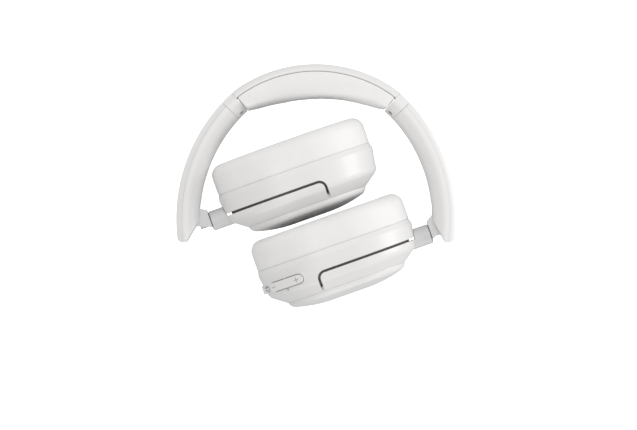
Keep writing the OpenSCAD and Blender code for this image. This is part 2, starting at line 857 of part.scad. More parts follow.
outer_cover(RIGHT);  // right_outer_cover
baffle(RIGHT);  // right_baffle
driver(RIGHT);  // right_driver
pad_ring(RIGHT);  // right_pad_ring
scrim(RIGHT);  // right_scrim
ear_pad(RIGHT);  // right_ear_pad
circuit_board(RIGHT);  // right_circuit_board
usb_port();  // right_usb_port
audio_jack();  // right_audio_jack
volume_rocker();
volume_rocker_pin();
power_button();
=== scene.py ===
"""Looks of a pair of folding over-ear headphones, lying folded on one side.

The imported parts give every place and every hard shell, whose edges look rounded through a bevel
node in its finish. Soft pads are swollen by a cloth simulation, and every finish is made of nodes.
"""

import json
import logging
import math
from collections.abc import Callable
from dataclasses import dataclass, field
from enum import Enum

import bmesh
import bpy
from mathutils import Matrix, Vector


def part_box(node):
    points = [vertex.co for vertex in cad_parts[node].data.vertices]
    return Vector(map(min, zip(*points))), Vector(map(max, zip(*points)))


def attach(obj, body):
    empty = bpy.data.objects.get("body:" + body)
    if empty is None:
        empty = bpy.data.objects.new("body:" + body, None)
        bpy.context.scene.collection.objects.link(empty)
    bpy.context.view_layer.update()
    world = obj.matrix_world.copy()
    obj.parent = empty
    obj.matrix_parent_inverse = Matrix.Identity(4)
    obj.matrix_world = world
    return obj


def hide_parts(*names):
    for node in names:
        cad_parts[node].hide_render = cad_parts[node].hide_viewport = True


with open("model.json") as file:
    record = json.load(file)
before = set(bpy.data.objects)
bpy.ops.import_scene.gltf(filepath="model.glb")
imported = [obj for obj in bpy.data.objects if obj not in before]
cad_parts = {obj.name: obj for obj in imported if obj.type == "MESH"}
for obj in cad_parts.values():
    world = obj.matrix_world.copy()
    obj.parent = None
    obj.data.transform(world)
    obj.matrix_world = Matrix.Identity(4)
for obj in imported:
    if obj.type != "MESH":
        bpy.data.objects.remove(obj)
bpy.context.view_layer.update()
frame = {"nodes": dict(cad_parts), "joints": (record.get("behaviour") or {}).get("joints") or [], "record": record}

LOG = logging.getLogger("headphones")
MM = 0.001
Z_AXIS = Vector((0, 0, 1))

# Sockets of a colour mix, whose names are shared with the sockets of other types
MIX_FACTOR, MIX_A, MIX_B, MIX_RESULT = 0, 6, 7, 2
# How many finer layers each noise has
MOTTLE_DETAIL, GLOSS_DETAIL, GRAIN_DETAIL, SKIN_DETAIL = 3.0, 5.0, 2.0, 3.0
EDGE_SAMPLES = 4
LEAST_SEGMENTS = 3
WELD_MM = 0.01
PLACE_DIGITS = 4
SHARP_DEG = 40.0
ALL_SMOOTH_DEG = 180.0
PAD_STEP_MM = 1.8


class Side(Enum):
    """The wearer's side that a piece belongs to."""

    LEFT = -1
    RIGHT = 1

    @property
    def word(self) -> str:
        """The side's name in the names of nodes, joints and bodies."""
        return self.name.lower()


def joint(name: str) -> dict:
    """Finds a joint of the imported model.

    Args:
        name: The joint's name.

    Returns:
        The joint's record.
    """
    return next(j for j in frame["joints"] if j["name"] == name)


def linear(code: str) -> tuple[float, float, float, float]:
    """Turns an sRGB colour into the linear one that a shader takes.

    Args:
        code: Six hex digits.

    Returns:
        Red, green, blue and an alpha of 1.
    """
    parts = [int(code[i : i + 2], 16) / 255 for i in (0, 2, 4)]
    made = [c / 12.92 if c <= 0.04045 else ((c + 0.055) / 1.055) ** 2.4 for c in parts]
    return (*made, 1.0)


def add_node(
    tree: bpy.types.NodeTree,
    kind: str,
    values: dict | None = None,
    links: dict | None = None,
    **settings: object,
) -> bpy.types.Node:
    """Adds a node to a tree.

    Args:
        tree: The node tree.
        kind: The node's type name.
        values: Socket values by input name or number.
        links: Output sockets by the input name or number that they feed.
        settings: The node's own properties.

    Returns:
        The new node.
    """
    node = tree.nodes.new(kind)
    for name, value in settings.items():
        setattr(node, name, value)
    for name, value in (values or {}).items():
        node.inputs[name].default_value = value
    for name, source in (links or {}).items():
        tree.links.new(source, node.inputs[name])
    return node


# ---- finishes ----


@dataclass(frozen=True)
class Finish:
    """A surface: its colour, its gloss and the fine relief that breaks its reflections.

    The colour and its shade are mottled softly into each other, and the roughness swings about
    its mean. Each edge of the mesh looks broken to a radius of edge_mm.
    """

    name: str
    colour: str
    shade: str
    roughness: float
    ior: float = 1.5
    metallic: float = 0.0
    coat: float = 0.0
    coat_roughness: float = 0.12
    sheen: float = 0.0
    sheen_roughness: float = 0.4
    grain_mm: float = 0.4
    relief_mm: float = 0.002
    mottle_mm: float = 25.0
    roughness_swing: float = 0.02
    edge_mm: float = 0.3

    def build(self) -> bpy.types.Material:
        """Makes the material.

        Returns:
            A material whose patterns follow Object coordinates.
        """
        made = bpy.data.materials.new(self.name)
        made.use_nodes = True
        tree = made.node_tree
        tree.nodes.clear()
        place = add_node(tree, "ShaderNodeTexCoord").outputs["Object"]
        colour = add_node(
            tree,
            "ShaderNodeMix",
            {MIX_A: linear(self.shade), MIX_B: linear(self.colour)},
            {MIX_FACTOR: self.noise(tree, place, self.mottle_mm, MOTTLE_DETAIL)},
            data_type="RGBA",
        )
        swing = self.roughness_swing
        roughness = add_node(
            tree,
            "ShaderNodeMapRange",
            {"To Min": self.roughness - swing, "To Max": self.roughness + swing},
            {"Value": self.noise(tree, place, self.mottle_mm, GLOSS_DETAIL)},
        )
        shader = add_node(
            tree,
            "ShaderNodeBsdfPrincipled",
            {
                "IOR": self.ior,
                "Metallic": self.metallic,
                "Coat Weight": self.coat,
                "Coat Roughness": self.coat_roughness,
                "Sheen Weight": self.sheen,
                "Sheen Roughness": self.sheen_roughness,
            },
            {
                "Base Color": colour.outputs[MIX_RESULT],
                "Roughness": roughness.outputs[0],
                "Normal": self.relief(tree, place),
            },
        )
        add_node(tree, "ShaderNodeOutputMaterial", links={"Surface": shader.outputs[0]})
        return made

    def noise(
        self,
        tree: bpy.types.NodeTree,
        place: bpy.types.NodeSocket,
        width_mm: float,
        detail: float,
    ) -> bpy.types.NodeSocket:
        """Adds noise whose lumps are about as wide as asked.

        Args:
            tree: The node tree.
            place: The coordinates.
            width_mm: Width of a lump.
            detail: How many finer layers it has.

        Returns:
            The noise's value.
        """
        node = add_node(
            tree,
            "ShaderNodeTexNoise",
            {"Scale": 1 / (width_mm * MM), "Detail": detail},
            {"Vector": place},
        )
        return node.outputs[0]

    def relief(self, tree: bpy.types.NodeTree, place: bpy.types.NodeSocket) -> bpy.types.NodeSocket:
        """Adds the surface's fine relief.

        Args:
            tree: The node tree.
            place: The coordinates.

        Returns:
            The bumped normal.
        """
        height = self.noise(tree, place, self.grain_mm, GRAIN_DETAIL)
        return self.bump(tree, height, self.relief_mm)

    def bump(
        self, tree: bpy.types.NodeTree, height: bpy.types.NodeSocket, depth_mm: float
    ) -> bpy.types.NodeSocket:
        """Adds a bump of a real depth over normals that break the mesh's sharp edges.

        Args:
            tree: The node tree.
            height: The height, from 0 to 1.
            depth_mm: The depth that a height of 1 stands for.

        Returns:
            The bumped normal.
        """
        broken_edge = add_node(
            tree, "ShaderNodeBevel", {"Radius": self.edge_mm * MM}, samples=EDGE_SAMPLES
        )
        node = add_node(
            tree,
            "ShaderNodeBump",
            {"Distance": depth_mm * MM},
            {"Height": height, "Normal": broken_edge.outputs[0]},
        )
        return node.outputs[0]


@dataclass(frozen=True)
class GrainedSkin(Finish):
    """Soft synthetic leather: pebbled grain with fine creases between the pebbles."""

    crease_mm: float = 1.3
    scatter: float = 0.9
    pebble_share: float = 0.5

    def relief(self, tree: bpy.types.NodeTree, place: bpy.types.NodeSocket) -> bpy.types.NodeSocket:
        """Adds pebbles, and a finer noise over them.

        Args:
            tree: The node tree.
            place: The coordinates.

        Returns:
            The bumped normal.
        """
        pebble = add_node(
            tree,
            "ShaderNodeTexVoronoi",
            {"Scale": 1 / (self.crease_mm * MM), "Randomness": self.scatter},
            {"Vector": place},
            feature="SMOOTH_F1",
        )
        fine = self.noise(tree, place, self.grain_mm, SKIN_DETAIL)
        height = add_node(
            tree,
            "ShaderNodeMath",
            {1: self.pebble_share},
            {0: pebble.outputs[0], 2: fine},
            operation="MULTIPLY_ADD",
        )
        return self.bump(tree, height.outputs[0], self.relief_mm)


@dataclass(frozen=True)
class KnittedMesh(Finish):
    """Knitted cloth stretched over a frame: rows of small loops with holes between them."""

    loop_mm: float = 1.1
    scatter: float = 0.15

    def relief(self, tree: bpy.types.NodeTree, place: bpy.types.NodeSocket) -> bpy.types.NodeSocket:
        """Adds the loops.

        Args:
            tree: The node tree.
            place: The coordinates.

        Returns:
            The bumped normal.
        """
        loops = add_node(
            tree,
            "ShaderNodeTexVoronoi",
            {"Scale": 1 / (self.loop_mm * MM), "Randomness": self.scatter},
            {"Vector": place},
        )
        return self.bump(tree, loops.outputs[0], self.relief_mm)


@dataclass(frozen=True)
class BrushedSteel(Finish):
    """Steel drawn through a die: fine lines along it."""

    stretch: float = 0.05

    def relief(self, tree: bpy.types.NodeTree, place: bpy.types.NodeSocket) -> bpy.types.NodeSocket:
        """Adds the lines, as noise stretched along Z.

        Args:
            tree: The node tree.
            place: The coordinates.

        Returns:
            The bumped normal.
        """
        drawn = add_node(
            tree, "ShaderNodeMapping", {"Scale": (1, 1, self.stretch)}, {"Vector": place}
        )
        height = self.noise(tree, drawn.outputs[0], self.grain_mm, GRAIN_DETAIL)
        return self.bump(tree, height, self.relief_mm)


# Injection-moulded ABS, satin: soft broad highlights and an even, slightly warm white
ABS_SATIN = Finish("white_abs_satin", "E9E8E7", "E6E5E4", 0.34, ior=1.53, coat=0.1)
# Protein leather over foam: matte, with a pebbled grain drawn a little coarse so that it shows
PROTEIN_LEATHER = GrainedSkin(
    "white_protein_leather",
    "F2F1F0",
    "EBEAE9",
    0.55,
    ior=1.46,
    sheen=0.1,
    relief_mm=0.12,
    mottle_mm=9,
    edge_mm=0.05,
)
# Die-cast alloy under satin silver lacquer
SILVER_LACQUER = Finish("satin_silver_lacquer", "DADADA", "D5D5D5", 0.42, coat=0.1)
# Drawn spring steel
SPRING_STEEL = BrushedSteel(
    "drawn_spring_steel", "B4B6B9", "A5A7AA", 0.3, metallic=1.0, grain_mm=0.25
)
# Nylon with a spark-eroded mould texture
DARK_NYLON = Finish("dark_moulded_nylon", "2A2A2C", "232325", 0.5, relief_mm=0.01, grain_mm=0.5)
# Polyester mesh that hides the driver
MESH_CLOTH = KnittedMesh("dark_knitted_mesh", "3A3A3D", "2C2C2F", 0.85, sheen=0.3, relief_mm=0.25)
# Green solder mask over copper
SOLDER_MASK = Finish("green_solder_mask", "1D4B31", "163D27", 0.32, coat=0.4, mottle_mm=6)
# Foil pouch of a flat cell
FOIL_POUCH = Finish(
    "foil_pouch", "C4C6CA", "B5B8BC", 0.32, metallic=1.0, relief_mm=0.03, grain_mm=2.5
)
# Grey sheet for the cup's slit, matte: its colour is painted shade for the slit's dark floor
PAINTED_SLIT_GREY = Finish("grey_silicone_rubber", "77726F", "6D6966", 0.6, relief_mm=0.005)
# Pad-printed grey ink on the rocker's raised marks
GREY_INK = Finish("grey_pad_print_ink", "BDBBBA", "B4B2B1", 0.5, relief_mm=0.001)

SLOT_FINISH = {
    "white_shell": ABS_SATIN,
    "white_skin": PROTEIN_LEATHER,
    "silver_hinge": SILVER_LACQUER,
    "steel": SPRING_STEEL,
    "dark_plastic": DARK_NYLON,
    "dark_cloth": MESH_CLOTH,
    "board": SOLDER_MASK,
    "cell": FOIL_POUCH,
}


class Wardrobe:
    """Builds each finish once and dresses pieces in it."""

    def __init__(self) -> None:
        """Builds every finish."""
        self.materials = {slot: finish.build() for slot, finish in SLOT_FINISH.items()}
        # grey finish that paints the shade in the cups' slits
        self.rubber = PAINTED_SLIT_GREY.build()
        self.print_ink = GREY_INK.build()

    def dress(
        self, piece: bpy.types.Object, slot: str, special: bpy.types.Material | None = None
    ) -> None:
        """Gives a new piece its finish.

        Args:
            piece: The piece.
            slot: The record's material slot.
            special: A finish of its own, where the slot's usual one doesn't suit it.
        """
        piece.data.materials.clear()
        piece.data.materials.append(special or self.materials[slot])
        LOG.info("%s: %d faces", piece.name, len(piece.data.polygons))

    def dress_frame(self) -> None:
        """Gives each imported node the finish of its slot."""
        for part in frame["record"]["subparts"]:
            node = frame["nodes"][part["node"]]
            for place in node.material_slots:
                place.material = self.materials[part["material_slot"]]


# ---- shaping ----


@dataclass(frozen=True)
class Corner:
    """A corner of an outline, rounded to a radius in mm."""

    x: float
    y: float
    r: float = 0.0


def outline(corners: list[Corner], place: Matrix, step_mm: float = 1.0) -> bmesh.types.BMesh:
    """Draws a closed outline of edges with round corners.

    Args:
        corners: The corners, in order.
        place: The transform from (x, y, 0) in mm to where the outline stands.
        step_mm: About how far apart the points on an arc are.

    Returns:
        A bmesh that holds only the outline.
    """
    bm = bmesh.new()
    verts = [bm.verts.new((c.x, c.y, 0)) for c in corners]
    for i, vert in enumerate(verts):
        bm.edges.new((vert, verts[(i + 1) % len(verts)]))
    for i, (corner, vert) in enumerate(zip(corners, verts)):
        if not corner.r:
            continue
        here = Vector((corner.x, corner.y))
        beside = corners[i - 1], corners[(i + 1) % len(corners)]
        before, after = (Vector((c.x, c.y)) for c in beside)
        opening = (before - here).angle(after - here)
        bmesh.ops.bevel(
            bm,
            geom=[vert],
            offset=corner.r / math.tan(opening / 2),
            offset_type="OFFSET",
            segments=max(LEAST_SEGMENTS, round(corner.r * (math.pi - opening) / step_mm)),
            profile=0.5,
            affect="VERTICES",
            clamp_overlap=False,
            material=-1,
        )
    bm.transform(place)
    return bm


def divide(bm: bmesh.types.BMesh, step_mm: float) -> None:
    """Divides an outline's long edges.

    Args:
        bm: The outline.
        step_mm: About how long its edges become.
    """
    for edge in bm.edges[:]:
        cuts = round(edge.calc_length() / (step_mm * MM)) - 1
        if cuts > 0:
            bmesh.ops.subdivide_edges(bm, edges=[edge], cuts=cuts)


@dataclass(frozen=True)
class Leg:
    """One leg of a sweep: an arc about a centre, or a straight run."""

    steps: int
    centre: Vector = Vector()
    axis: Vector = Z_AXIS
    angle: float = 0.0
    run: Vector = Vector()


def sweep(bm: bmesh.types.BMesh, legs: list[Leg], closed: bool = False) -> None:
    """Carries an outline along its legs and leaves a closed skin.

    Args:
        bm: The outline, at the start of the first leg.
        legs: The legs, in order.
        closed: Whether the last leg ends where the first starts. Otherwise both ends get a face.
    """
    first = bm.verts[:] + bm.edges[:]
    last = first
    for leg in legs:
        made = bmesh.ops.spin(
            bm,
            geom=last,
            cent=leg.centre,
            axis=leg.axis,
            dvec=leg.run / leg.steps,
            angle=leg.angle,
            steps=leg.steps,
            use_merge=False,
            use_duplicate=False,
        )
        last = made["geom_last"]
    if closed:
        bmesh.ops.remove_doubles(bm, verts=bm.verts, dist=WELD_MM * MM)
    else:
        for ring in (first, last):
            rim = [g for g in ring if isinstance(g, bmesh.types.BMEdge)]
            bmesh.ops.contextual_create(bm, geom=rim)
    bmesh.ops.recalc_face_normals(bm, faces=bm.faces)


def in_fixed_order(bm: bmesh.types.BMesh) -> bmesh.types.BMesh:
    """Copies a bmesh with its corners and faces in an order that follows from their places.

    Operators leave them in an order that changes from run to run, which a cloth simulation
    would carry into the shape.

    Args:
        bm: The bmesh, which is freed.

    Returns:
        The copy.
    """
    spots = {vert: tuple(round(c / MM, PLACE_DIGITS) for c in vert.co) for vert in bm.verts}
    ranked = sorted(spots, key=spots.get)
    rank = {vert: i for i, vert in enumerate(ranked)}
    loops = []
    for face in bm.faces:
        ranks = [rank[vert] for vert in face.verts]
        first = ranks.index(min(ranks))
        loops.append(ranks[first:] + ranks[:first])
    made = bmesh.new()
    verts = [made.verts.new(Vector(spots[vert]) * MM) for vert in ranked]
    for loop in sorted(loops):
        made.faces.new([verts[i] for i in loop])
    bm.free()
    return made


def finish_mesh(name: str, bm: bmesh.types.BMesh) -> bpy.types.Object:
    """Turns a bmesh into a piece of the scene.

    Args:
        name: The piece's name.
        bm: The bmesh, which is freed.

    Returns:
        The new piece.
    """
    bm = in_fixed_order(bm)
    mesh = bpy.data.meshes.new(name)
    bm.to_mesh(mesh)
    bm.free()
    piece = bpy.data.objects.new(name, mesh)
    bpy.context.scene.collection.objects.link(piece)
    return piece


def settle(piece: bpy.types.Object) -> None:
    """Applies every modifier of a piece.

    Args:
        piece: The piece.
    """
    depsgraph = bpy.context.evaluated_depsgraph_get()
    mesh = bpy.data.meshes.new_from_object(piece.evaluated_get(depsgraph))
    old = piece.data
    piece.modifiers.clear()
    piece.data = mesh
    mesh.name = old.name
    bpy.data.meshes.remove(old)


def smooth(piece: bpy.types.Object, sharp_deg: float = SHARP_DEG) -> None:
    """Shades a piece smooth, except over its sharp edges.

    Args:
        piece: The piece.
        sharp_deg: The angle from which an edge is sharp.
    """
    for face in piece.data.polygons:
        face.use_smooth = True
    piece.data.set_sharp_from_angle(angle=math.radians(sharp_deg))


@dataclass
class PaddedSkin:
    """A skin swollen over its foam by a cloth simulation.

    The foam stops each point of the skin most_mm from where it was cut.
    """

    pressure: float = 4.0
    most_mm: float = 0.9
    frames: int = 20
    quality: int = 5
    mass: float = 0.15
    stretch_stiffness: float = 12.0
    bending_stiffness: float = 0.4

    def fill(self, piece: bpy.types.Object, held: Callable[[Vector], float]) -> None:
        """Swells a piece and smooths it.

        Args:
            piece: The piece, changed in place.
            held: Tells how firmly a point is held, from 0 to 1.
        """
        self.swell(piece, held)
        finer = piece.modifiers.new("finer", "SUBSURF")
        finer.levels = finer.render_levels = 1
        settle(piece)
        smooth(piece, ALL_SMOOTH_DEG)

    def swell(self, piece: bpy.types.Object, held: Callable[[Vector], float]) -> None:
        """Runs the cloth simulation and keeps each point near its start.

        Args:
            piece: The piece, changed in place.
            held: Tells how firmly a point is held, from 0 to 1.
        """
        start = [v.co.copy() for v in piece.data.vertices]
        group = piece.vertex_groups.new(name="held")
        for vert in piece.data.vertices:
            group.add([vert.index], held(vert.co), "REPLACE")
        cloth = piece.modifiers.new("cloth", "CLOTH")
        cloth.settings.quality = self.quality
        cloth.settings.mass = self.mass
        cloth.settings.tension_stiffness = self.stretch_stiffness
        cloth.settings.compression_stiffness = self.stretch_stiffness
        cloth.settings.bending_stiffness = self.bending_stiffness
        cloth.settings.use_pressure = True
        cloth.settings.uniform_pressure_force = self.pressure
        cloth.settings.effector_weights.gravity = 0
        cloth.settings.vertex_group_mass = "held"
        cloth.point_cache.frame_start = 1
        cloth.point_cache.frame_end = self.frames
        for step in range(1, self.frames + 1):
            bpy.context.scene.frame_set(step)
        settle(piece)
        bpy.context.scene.frame_set(1)
        most = self.most_mm * MM
        far = 0.0
        for vert, before in zip(piece.data.vertices, start):
            moved = vert.co - before
            far = max(far, moved.length)
            if moved.length > most:
                vert.co = before + moved * (most / moved.length)
        LOG.info("%s swelled up to %.2f mm", piece.name, far / MM)


# ---- the object ----


@dataclass
class CupFrame:
    """A cup's own directions: u along the cup from its fold pin, w across it, n out of its pad."""

    side: Side
    pin: Vector = field(init=False)
    u: Vector = field(init=False)
    w: Vector = field(init=False)
    n: Vector = field(init=False)

    def __post_init__(self) -> None:
        """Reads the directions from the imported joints."""
        word = self.side.word
        self.pin = Vector(joint(f"{word}_fold")["pos_m"])
        axis = Vector(joint(f"{word}_swivel")["axis"])
        low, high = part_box(f"{word}_housing")
        across = (low + high) / 2 - self.pin
        self.u = axis if axis.dot(across) > 0 else -axis
        self.n = Z_AXIS.cross(axis)
        self.w = self.n.cross(self.u)

    @property
    def matrix(self) -> Matrix:
        """The transform from (u, w, n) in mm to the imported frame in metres."""
        turn = Matrix((self.u, self.w, self.n)).transposed().to_4x4()
        return Matrix.Translation(self.pin) @ turn @ Matrix.Scale(MM, 4)

    def n_of(self, point: Vector) -> float:
        """How far a point lies along n from the pin, in mm."""
        return (point - self.pin).dot(self.n) / MM


@dataclass
class EarCup:
    """One ear cup with its soft pad, the cloth over its driver and a grey sheet in its slit whose colour paints
    the slit's shade.

    A cup's oval is two half circles joined by straight sides: oval_r is their radius and oval_g
    half the length of a side. Sizes are in mm.
    """

    side: Side
    clothes: Wardrobe
    centre_u: float = 68.0
    oval_r: float = 38.0
    oval_g: float = 10.8
    rim_n: float = 4.2
    pad_gap: float = 0.05
    pad_in: float = 0.7
    pad_top_n: float = 22.4
    swell_room: float = 0.5
    pad_open_r: float = 21.4
    pad_side_h: float = 9.0
    foot_in: float = 1.0
    foot_h: float = 2.0
    bead_h: float = 1.2
    bead_out: float = 0.3
    cloth_t: float = 0.3
    cloth_up: float = 1.0
    cloth_in: float = 4.5
    place: CupFrame = field(init=False)

    def __post_init__(self) -> None:
        """Takes the cup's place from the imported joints."""
        self.place = CupFrame(self.side)

    def build(self) -> None:
        """Makes the cup's pieces."""
        self.ear_pad()
        self.driver_cloth()
        self.slit_gasket()

    def oval_outline(self, corners: list[Corner]) -> bmesh.types.BMesh:
        """Draws a section across the cup's far half circle.

        Args:
            corners: The section's corners as (distance from the oval's middle line, n).

        Returns:
            The outline, where the half circle starts.
        """
        far_u = self.centre_u + self.oval_g
        turn = Matrix(((0, 0, 0, far_u), (-1, 0, 0, 0), (0, 1, 0, 0), (0, 0, 0, 1)))
        return outline(corners, self.place.matrix @ turn)

    def oval_legs(self, arc_steps: int, run_steps: int) -> list[Leg]:
        """Gives the legs of a whole turn round the cup.

        Args:
            arc_steps: Steps in each half circle.
            run_steps: Steps in each straight side.

        Returns:
            The four legs.
        """
        far, near = (
            self.place.matrix @ Vector((self.centre_u + sign * self.oval_g, 0, 0))
            for sign in (1, -1)
        )
        return [
            Leg(arc_steps, centre=far, axis=self.place.n, angle=math.pi),
            Leg(run_steps, run=near - far),
            Leg(arc_steps, centre=near, axis=self.place.n, angle=math.pi),
            Leg(run_steps, run=far - near),
        ]

    def ear_pad(self) -> None:
        """Makes the foam pad that goes round the ear, with a bead where it is sewn to its foot."""
        foot_n = self.rim_n + self.pad_gap
        top_n = self.pad_top_n - self.swell_room
        foot_r = self.oval_r - self.foot_in
        out_r = self.oval_r - self.pad_in
        bm = self.oval_outline(
            [
                Corner(foot_r, foot_n, 0.2),
                Corner(foot_r + self.bead_out, foot_n + self.bead_h, 0.8),
                Corner(out_r, foot_n + self.pad_side_h, self.pad_side_h),
                Corner(out_r, top_n, 7.0),
                Corner(self.pad_open_r + 0.6, top_n, 4.5),
                Corner(self.pad_open_r, foot_n, 0.6),
            ]
        )
        divide(bm, PAD_STEP_MM)
        sweep(bm, self.oval_legs(arc_steps=44, run_steps=10), closed=True)
        piece = finish_mesh(f"{self.side.word}_ear_cushion", bm)

        def held(point: Vector) -> float:
            """Holds the pad's foot, where it is fixed to the rim."""
            height = self.place.n_of(point) - self.rim_n - self.bead_h
            return min(1.0, max(0.0, (self.foot_h - height) / self.foot_h))

        PaddedSkin().fill(piece, held)
        self.clothes.dress(piece, "white_skin")
        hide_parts(f"{self.side.word}_ear_pad")
        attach(piece, f"{self.side.word}_cup")

    def slit_gasket(self) -> None:
        """Makes a grey sheet under the yoke whose colour paints the shade on the floor of the slit."""
        outer_face = [Corner(33.35, -6.4), Corner(32.65, -10.85, 2.7), Corner(25.7, -16.0)]
        inner_face = [Corner(25.4, -15.7), Corner(32.3, -10.7, 2.4), Corner(33.0, -6.4)]
        bm = self.oval_outline(outer_face + inner_face)
        sweep(bm, self.oval_legs(arc_steps=40, run_steps=4), closed=True)
        piece = finish_mesh(f"{self.side.word}_slit_gasket", bm)
        smooth(piece)
        # the grey finish paints the slit's shade
        self.clothes.dress(piece, "dark_plastic", self.clothes.rubber)
        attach(piece, f"{self.side.word}_cup")

    def driver_cloth(self) -> None:
        """Makes the knitted cloth stretched over the driver."""
        low_n = self.rim_n + self.cloth_up
        top_n = low_n + self.cloth_t
        edge_r = self.oval_r - self.cloth_in
        bm = self.oval_outline(
            [Corner(0, low_n), Corner(edge_r, low_n), Corner(edge_r, top_n), Corner(0, top_n)]
        )
        sweep(bm, self.oval_legs(arc_steps=40, run_steps=4), closed=True)
        piece = finish_mesh(f"{self.side.word}_driver_cloth", bm)
        smooth(piece)
        self.clothes.dress(piece, "dark_cloth")
        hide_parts(f"{self.side.word}_scrim")
        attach(piece, f"{self.side.word}_cup")


@dataclass
class Headband:
    """The crown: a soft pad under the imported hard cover.

    The outer face is an arc of crown_r out to crown_deg on each side and one of shoulder_r from
    there to the seam, and the pad's lower face an arc of face_r. Sizes are in mm.
    """

    clothes: Wardrobe
    crown_r: float = 83.0
    crown_deg: float = 33.0
    shoulder_r: float = 40.0
    seam_deg: float = 42.3
    cover_t: float = 4.4
    parting: float = 0.15
    total_t: float = 20.7
    face_r: float = 116.0
    pad_w: float = 28.0
    swell_room: float = 0.5
    face_room: float = 0.4
    clamp_in: float = 0.4
    clamp_h: float = 2.5
    side_h: float = 5.0
    top_y: float = field(init=False)
    mid_z: float = field(init=False)

    def __post_init__(self) -> None:
        """Finds the crown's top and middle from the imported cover."""
        low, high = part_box("headband_cover")
        self.top_y = high.y / MM
        self.mid_z = (low.z + high.z) / 2 / MM

    def build(self) -> None:
        """Makes the crown's pieces."""
        self.crown_pad()

    @property
    def crown_centre(self) -> Vector:
        """The crown arc's centre, in mm."""
        return Vector((0, self.top_y - self.crown_r, self.mid_z))

    def shoulder_centre(self, side: Side) -> Vector:
        """The centre of a shoulder's arc, in mm."""
        turn = math.radians(self.crown_deg) * side.value
        away = Vector((math.sin(turn), math.cos(turn), 0))
        return self.crown_centre + away * (self.crown_r - self.shoulder_r)

    def band_outline(self, corners: list[Corner]) -> bmesh.types.BMesh:
        """Draws a section where the left shoulder starts.

        Args:
            corners: The section's corners as (depth below the outer face, height over the middle).

        Returns:
            The outline.
        """
        turn = math.radians(-self.seam_deg)
        away = Vector((math.sin(turn), math.cos(turn), 0))
        start = self.shoulder_centre(Side.LEFT) + away * self.shoulder_r
        place = Matrix((-away, Z_AXIS, Z_AXIS)).transposed().to_4x4()
        place.translation = start
        return outline(corners, Matrix.Scale(MM, 4) @ place)

    def band_legs(self) -> list[Leg]:
        """Gives the legs over both shoulders and the crown."""
        shoulder = math.radians(self.seam_deg - self.crown_deg)
        crown = 2 * math.radians(self.crown_deg)
        return [
            Leg(5, self.shoulder_centre(Side.LEFT) * MM, -Z_AXIS, shoulder),
            Leg(52, self.crown_centre * MM, -Z_AXIS, crown),
            Leg(5, self.shoulder_centre(Side.RIGHT) * MM, -Z_AXIS, shoulder),
        ]

    def depth(self, point: Vector) -> tuple[float, Vector, Vector]:
        """Measures a point's depth below the band's outer face.

        Args:
            point: The point, in metres.

        Returns:
            The depth in mm, the direction out of the face and the foot on the face, in mm.
        """
        here = Vector((point.x / MM, point.y / MM, self.mid_z))
        centre, radius = self.crown_centre, self.crown_r
        if abs(math.atan2(here.x, here.y - centre.y)) > math.radians(self.crown_deg):
            centre = self.shoulder_centre(Side.RIGHT if here.x > 0 else Side.LEFT)
            radius = self.shoulder_r
        away = (here - centre).normalized()
        return radius - (here - centre).length, away, centre + away * radius

    def room(self, foot: Vector, away: Vector) -> float:
        """Gives how deep the pad goes below a point of the outer face, in mm."""
        face_centre = Vector((0, self.top_y - self.total_t - self.face_r, self.mid_z))
        gap = foot - face_centre
        along = gap.dot(away)
        return along - math.sqrt(along**2 - gap.length_squared + self.face_r**2)

    def crown_pad(self) -> None:
        """Makes the pad that rests on the head, deepest in its middle."""
        top = self.cover_t + self.parting
        full = self.total_t
        half_w = self.pad_w / 2 - self.swell_room
        clamp_w = half_w - self.clamp_in
        bm = self.band_outline(
            [
                Corner(top, -clamp_w, 0.6),
                Corner(top + self.side_h, -half_w, 3),
                Corner(full, -half_w, 4.5),
                Corner(full, half_w, 4.5),
                Corner(top + self.side_h, half_w, 3),
                Corner(top, clamp_w, 0.6),
            ]
        )
        divide(bm, PAD_STEP_MM)
        sweep(bm, self.band_legs())
        for vert in bm.verts:
            depth, away, foot = self.depth(vert.co)
            share = (depth - top) / (full - top)
            wanted = top + share * (self.room(foot, away) - self.face_room - top)
            vert.co -= away * (wanted - depth) * MM
        piece = finish_mesh("crown_cushion", bm)

        def held(point: Vector) -> float:
            """Holds the pad where the cover clamps it."""
            below = self.depth(point)[0] - top
            return min(1.0, max(0.0, (self.clamp_h - below) / self.clamp_h))

        PaddedSkin(most_mm=1.0).fill(piece, held)
        self.clothes.dress(piece, "white_skin")
        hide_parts("headband_pad")
        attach(piece, "headband")


